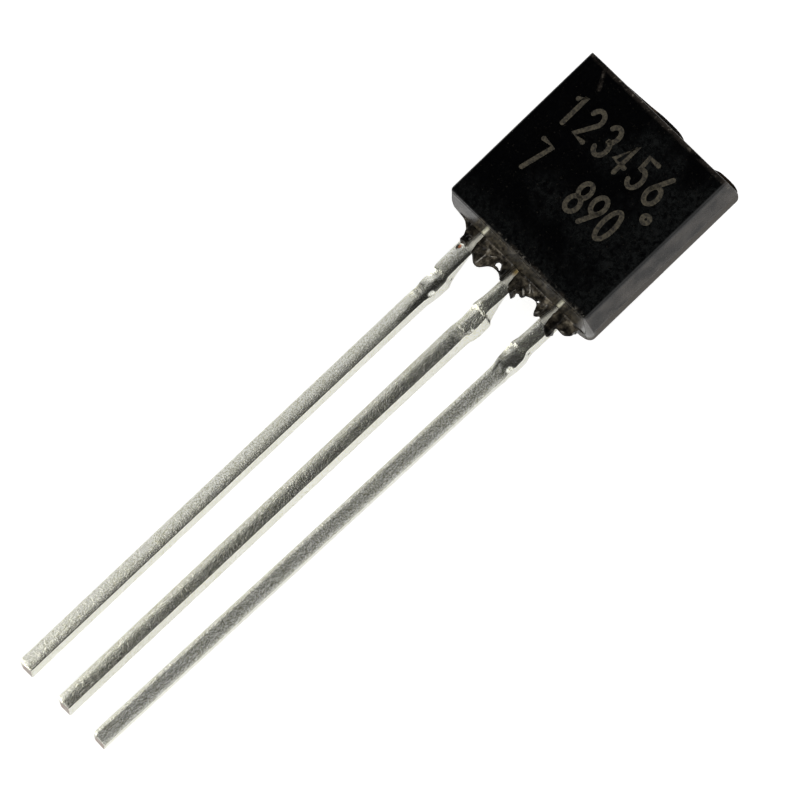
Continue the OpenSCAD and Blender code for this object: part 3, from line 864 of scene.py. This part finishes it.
# Fins left along the parting line: the torn gate and a thin fin on the head, and two on the lead end
head_gate = [
    (-1.45, 4.392), (-1.3, 4.402), (-1.1, 4.412), (-0.9, 4.421), (-0.6, 4.436), (-0.45, 4.449),
    (-0.3, 4.462), (-0.1, 4.465), (0.1, 4.465), (0.2, 4.459), (0.3, 4.449), (0.38, 4.43), (0.45, 4.402),
    (0.5, 4.385),
]
head_fin = [
    (1.38, 4.385), (1.45, 4.402), (1.5, 4.42), (1.56, 4.444), (1.65, 4.457), (1.85, 4.461), (1.95, 4.459),
    (2.0, 4.455), (2.07, 4.445), (2.136, 4.428), (2.185, 4.396), (2.205, 4.35),
]
foot_fin_left = [(-1.98, -0.15), (-1.9, -0.163), (-1.75, -0.172), (-1.6, -0.176), (-1.45, -0.17)]
foot_fin_right = [(1.85, -0.176), (1.95, -0.17), (2.05, -0.17), (2.12, -0.152), (2.17, -0.12), (2.2, -0.08)]


def fin(name, table, root_y, half_t, seed):
    """A fin along the parting line, from a root inside the body out to the y of its table."""
    rings = []
    for x in np.arange(table[0][0], table[-1][0], 0.02):
        tip = read_table(table, x, 1, 0.02) + 0.004 * noise.noise(Vector((x / 0.06, seed, 0)))
        out = 1 if tip > root_y else -1
        shape = [(root_y, 1.0), (tip - out * 0.012, 0.95), (tip - out * 0.003, 0.8), (tip, 0.5),
                 (tip, -0.5), (tip - out * 0.003, -0.8), (tip - out * 0.012, -0.95), (root_y, -1.0)]
        rings.append([(x, y, PARTING - half_t * 0.6 + half_t * z) for y, z in shape[::out]])
    return object_of(name, mesh_of(name, np.concatenate(rings), loft(rings), seam_resin))


body_pieces += [
    fin("gate_remnant", head_gate, 4.2, 0.08, 1), fin("head_fin", head_fin, 4.1, 0.03, 2),
    fin("foot_fin_left", foot_fin_left, -0.05, 0.02, 3), fin("foot_fin_right", foot_fin_right, 0.05, 0.02, 4),
]

# --- Laser marking ----------------------------------------------------
# Plain numbers burnt into the flat, each stroke a shallow band of paler, matte epoxy.
STROKE_W = 0.115
MARK_H = 0.78
MARK_HALF_W = 0.15
MARK_PROUD = 0.003
MARK_FOOT = 0.0005
UPPER_LINE = 2.74
LOWER_LINE = 1.43
RING_AT = (1.49, 2.49)
RING_R = 0.085


def arc(cx, cy, rx, ry, start, end):
    angles = np.radians(np.linspace(start, end, max(8, int(abs(end - start) / 8))))
    return [(cx + rx * cos(a), cy + ry * sin(a)) for a in angles]


w, h = MARK_HALF_W, MARK_H
digits = {
    "0": [arc(0, h / 2, w, h / 2, 0, 360)],
    "1": [[(-0.1, h - 0.16), (0.04, h), (0.04, 0)]],
    "2": [arc(0, h - 0.2, w, 0.2, 170, -30) + [(-w, 0), (w, 0)]],
    "3": [arc(0, h - 0.2, w * 0.92, 0.2, 155, -80) + arc(0, 0.21, w, 0.21, 80, -155)],
    "4": [[(0.07, 0), (0.07, h), (-w, 0.22), (w + 0.02, 0.22)]],
    "5": [[(w, h), (-w + 0.03, h)] + arc(0, 0.24, w, 0.24, 125, -150)],
    "6": [[(0.09, h)] + arc(0, 0.22, w, 0.22, 150, 510)],
    "7": [[(-w, h), (w, h), (-0.04, 0)]],
    "8": [arc(0, 0.2, w, 0.2, 90, 450), arc(0, h - 0.19, w * 0.88, 0.19, -90, 270)],
    "9": [[(-0.09, 0)] + arc(0, h - 0.22, w, 0.22, -30, 330)],
}


def stroke(line, offset):
    """Rings of a raised band along a line of points, with round ends."""
    line = np.array(line) + offset
    line = line[np.concatenate([[True], np.linalg.norm(np.diff(line, axis=0), axis=1) > 1e-6])]
    closed = np.linalg.norm(line[0] - line[-1]) < 1e-6
    ahead = np.gradient(line, axis=0)
    if closed:
        ahead[0] = ahead[-1] = line[1] - line[-2]
    ahead /= np.linalg.norm(ahead, axis=1)[:, None]
    side = np.column_stack([-ahead[:, 1], ahead[:, 0]]) * STROKE_W / 2
    rows = list(zip(line, side))
    if not closed:
        caps = np.radians([80, 60, 40, 20])
        rows = ([(line[0] - ahead[0] * sin(a) * STROKE_W / 2, side[0] * cos(a)) for a in caps] + rows
                + [(line[-1] + ahead[-1] * sin(a) * STROKE_W / 2, side[-1] * cos(a)) for a in caps[::-1]])
    rings = []
    foot, top = MARK_FOOT - MARK_SUNK, MARK_PROUD - MARK_SUNK
    for p, outer in rows:
        inner = outer * 0.86
        rings.append([(*(p + outer), -0.01), (*(p + outer), foot), (*(p + inner), top),
                      (*(p - inner), top), (*(p - outer), foot), (*(p - outer), -0.01)])
    return rings


def laser_mark():
    """Epoxy burnt pale by the laser."""
    material, shader, at = new_material("laser_burnt_epoxy")
    spots = noise_at(at, 0.06, 3.0, 0.6)
    tone = ramp(spots, [(0.35, "#221e18"), (0.65, "#5c5545")])
    plug(shader, Base_Color=tone, Roughness=0.8)
    return material


burnt = laser_mark()
writing = [("123456", -1.51, 0.541, UPPER_LINE), ("7", -1.35, 0, LOWER_LINE), ("890", 0.05, 0.47, LOWER_LINE)]
mark_points, mark_faces = [], []
lines = [(line, np.array([first + k * pitch, base]))
         for text, first, pitch, base in writing for k, digit in enumerate(text) for line in digits[digit]]
lines.append((arc(0, 0, RING_R, RING_R, 0, 360), np.array(RING_AT)))
for line, offset in lines:
    rings = stroke(line, offset)
    start = len(mark_points)
    mark_points += [p for ring in rings for p in ring]
    mark_faces += [tuple(start + i for i in face) for face in loft(rings)]
marking = object_of("laser_marking", mesh_of("laser_marking", np.array(mark_points), mark_faces, burnt))
marking.data.set_sharp_from_angle(angle=RESIN_SHARP)
body_pieces.append(marking)

for piece in body_pieces:
    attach(piece, "root")
    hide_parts("moulded_body")

# --- Chip, solder and bond wires --------------------------------------
# Sealed in the epoxy: a polished silicon die, soldered to the collector's paddle and joined to the
# other two leads by gold wires.
def plain_finish(name, code, metallic, roughness, grain_mm):
    material, shader, at = new_material(name)
    grain = noise_at(at, grain_mm, 2.0)
    darker = tuple(0.8 * v for v in colour(code)[:3]) + (1.0,)
    tone = ramp(grain, [(0.35, darker), (0.65, code)])
    plug(shader, Base_Color=tone, Metallic=metallic, Roughness=roughness)
    return material


inner_finishes = {
    "silicon_die": plain_finish("polished_silicon", "#5b5f6c", 0.8, 0.12, 0.1),
    "die_attach": plain_finish("die_solder", "#9d9d9a", 1.0, 0.45, 0.05),
    "base_bond_wire": plain_finish("drawn_gold", "#d9a53c", 1.0, 0.25, 0.05),
}
inner_finishes["emitter_bond_wire"] = inner_finishes["base_bond_wire"]
for node, finish in inner_finishes.items():
    slots = frame["nodes"][node].data.materials
    slots.clear()
    slots.append(finish)

# --- Table, light and camera ------------------------------------------
# A white table in a white room, with a black card overhead that the flat mirrors.
CAMERA_YAW = radians(20.31)
CAMERA_PITCH = radians(4.21)
CAMERA_ROLL = radians(43.93)
CAMERA_DISTANCE = 400.0
IMAGE_SIDE = 800
PIXELS_PER_MM = 46.069
FLAT_FOOT_PIXEL = (517.23, 253.79)
SENSOR_MM = 36.0
# Brightness of the room by the angle from the direction that the flat mirrors, in degrees
ROOM_GLOW = [(0, 0.0), (12, 0.006), (20, 0.037), (30, 0.135), (45, 0.41), (58, 0.67), (70, 0.98), (180, 1.05)]
TABLE_REACH = 0.6
# The table glows for the camera and for reflections, more beyond the body's lead end
TABLE_GLOW = 0.7
PANEL_GLOW = 0.43
SIDE_GLOW = 0.14
PANEL_FROM_MM = 5.5
PANEL_FULL_MM = 4.0
SHADE_FULL_MM = 2.5
SHADE_FROM_MM = 3.4

flat_share = cos(CAMERA_PITCH)
to_camera = Vector((sin(CAMERA_YAW) * flat_share, -sin(CAMERA_PITCH), cos(CAMERA_YAW) * flat_share))
level = Vector((cos(CAMERA_YAW), 0, -sin(CAMERA_YAW)))
upward = to_camera.cross(level)
image_right = level * sin(CAMERA_ROLL) + upward * cos(CAMERA_ROLL)
image_up = upward * sin(CAMERA_ROLL) - level * cos(CAMERA_ROLL)
aim = (image_right * (IMAGE_SIDE / 2 - FLAT_FOOT_PIXEL[0])
       - image_up * (IMAGE_SIDE / 2 - FLAT_FOOT_PIXEL[1])) / PIXELS_PER_MM


def turned(direction):
    return Vector(np.array(direction) @ mould_axes)


camera_data = bpy.data.cameras.new("camera")
camera_data.sensor_width = SENSOR_MM
camera_data.lens = PIXELS_PER_MM * CAMERA_DISTANCE / IMAGE_SIDE * SENSOR_MM
camera_data.clip_start = 0.01
camera_data.clip_end = 10.0
camera = object_of("camera", camera_data)
pose = Matrix([turned(image_right), turned(image_up), turned(to_camera)]).transposed().to_4x4()
pose.translation = Vector(laid(np.array(aim + to_camera * CAMERA_DISTANCE)))
camera.matrix_world = pose
bpy.context.scene.camera = camera

floor_mesh = bpy.data.meshes.new("floor")
corners = [(x * TABLE_REACH, y * TABLE_REACH, 0) for x, y in ((-1, -1), (1, -1), (1, 1), (-1, 1))]
floor_mesh.from_pydata(corners, [], [(0, 1, 2, 3)])
floor = object_of("floor", floor_mesh)
floor_finish, shader, table_place = new_material("white_table")
tree = shader.id_data
path = add(tree, "ShaderNodeLightPath")
seen = calc("MULTIPLY", path.outputs["Is Camera Ray"], TABLE_GLOW)
down = add(tree, "ShaderNodeSeparateXYZ", i0=table_place).outputs["Y"]
smooth = {"interpolation_type": "SMOOTHSTEP"}
panel = add(tree, "ShaderNodeMapRange", smooth, Value=down, From_Min=PANEL_FULL_MM, From_Max=PANEL_FROM_MM,
            To_Min=PANEL_GLOW, To_Max=SIDE_GLOW).outputs[0]
# Its glow falls off close under the body's side: a painted shadow of the body
beside = calc("ABSOLUTE", reach_mm(table_place, across))
shade = add(tree, "ShaderNodeMapRange", smooth, Value=beside, From_Min=SHADE_FULL_MM, From_Max=SHADE_FROM_MM)
lee = add(tree, "ShaderNodeMapRange", Value=down, From_Min=PANEL_FROM_MM - 1, From_Max=PANEL_FROM_MM)
shade = add(tree, "ShaderNodeMix", i0=lee.outputs[0], i2=1.0, i3=shade.outputs[0]).outputs[0]
panel = calc("MULTIPLY", panel, shade)
mirror = calc("MULTIPLY", path.outputs["Is Glossy Ray"], panel)
plug(shader, Base_Color="#f4f4f4", Roughness=0.9, Emission_Color=1.0,
     Emission_Strength=calc("ADD", seen, mirror))
floor_mesh.materials.append(floor_finish)

world = bpy.data.worlds.new("room")
world.use_nodes = True
bpy.context.scene.world = world
tree = world.node_tree
tree.nodes.clear()
mirrored = turned(Vector((0, 0, 1)) * (2 * to_camera.z) - to_camera)
direction = add(tree, "ShaderNodeTexCoord").outputs["Generated"]
unit = add(tree, "ShaderNodeVectorMath", {"operation": "NORMALIZE"}, i0=direction).outputs[0]
facing = vector_calc("DOT_PRODUCT", unit, mirrored)
angle = calc("ARCCOSINE", facing)
share = calc("DIVIDE", angle, pi)
glow = [(degrees_off / 180, level) for degrees_off, level in ROOM_GLOW]
background = add(tree, "ShaderNodeBackground", Color=ramp(share, glow), Strength=1.0)
white = add(tree, "ShaderNodeBackground", Color=1.0, Strength=1.0)
path = add(tree, "ShaderNodeLightPath")
mix = add(tree, "ShaderNodeMixShader", i0=path.outputs["Is Camera Ray"], i1=background.outputs[0],
          i2=white.outputs[0])
add(tree, "ShaderNodeOutputWorld", i0=mix.outputs[0])

# A softbox low on the left, beyond the tips: it glints on the flash and in the lead end's wall
SOFTBOX_TOWARD = (-0.83, -0.39, 0.39)
SOFTBOX_AWAY_MM = 100.0
SOFTBOX_W_MM = 45.0
SOFTBOX_H_MM = 60.0
SOFTBOX_RADIANCE = 2.0
lamp_data = bpy.data.lights.new("softbox", "AREA")
lamp_data.shape = "RECTANGLE"
lamp_data.size, lamp_data.size_y = SOFTBOX_W_MM * MM, SOFTBOX_H_MM * MM
lamp_data.energy = SOFTBOX_RADIANCE * pi * lamp_data.size * lamp_data.size_y
lamp_data.color = colour("#fffdf4")[:3]
lamp = object_of("softbox", lamp_data)
toward = turned(Vector(SOFTBOX_TOWARD).normalized())
lamp.matrix_world = toward.to_track_quat("Z", "Y").to_matrix().to_4x4()
lamp.location = flat_foot + toward * SOFTBOX_AWAY_MM * MM

bpy.context.scene.view_settings.view_transform = "Standard"
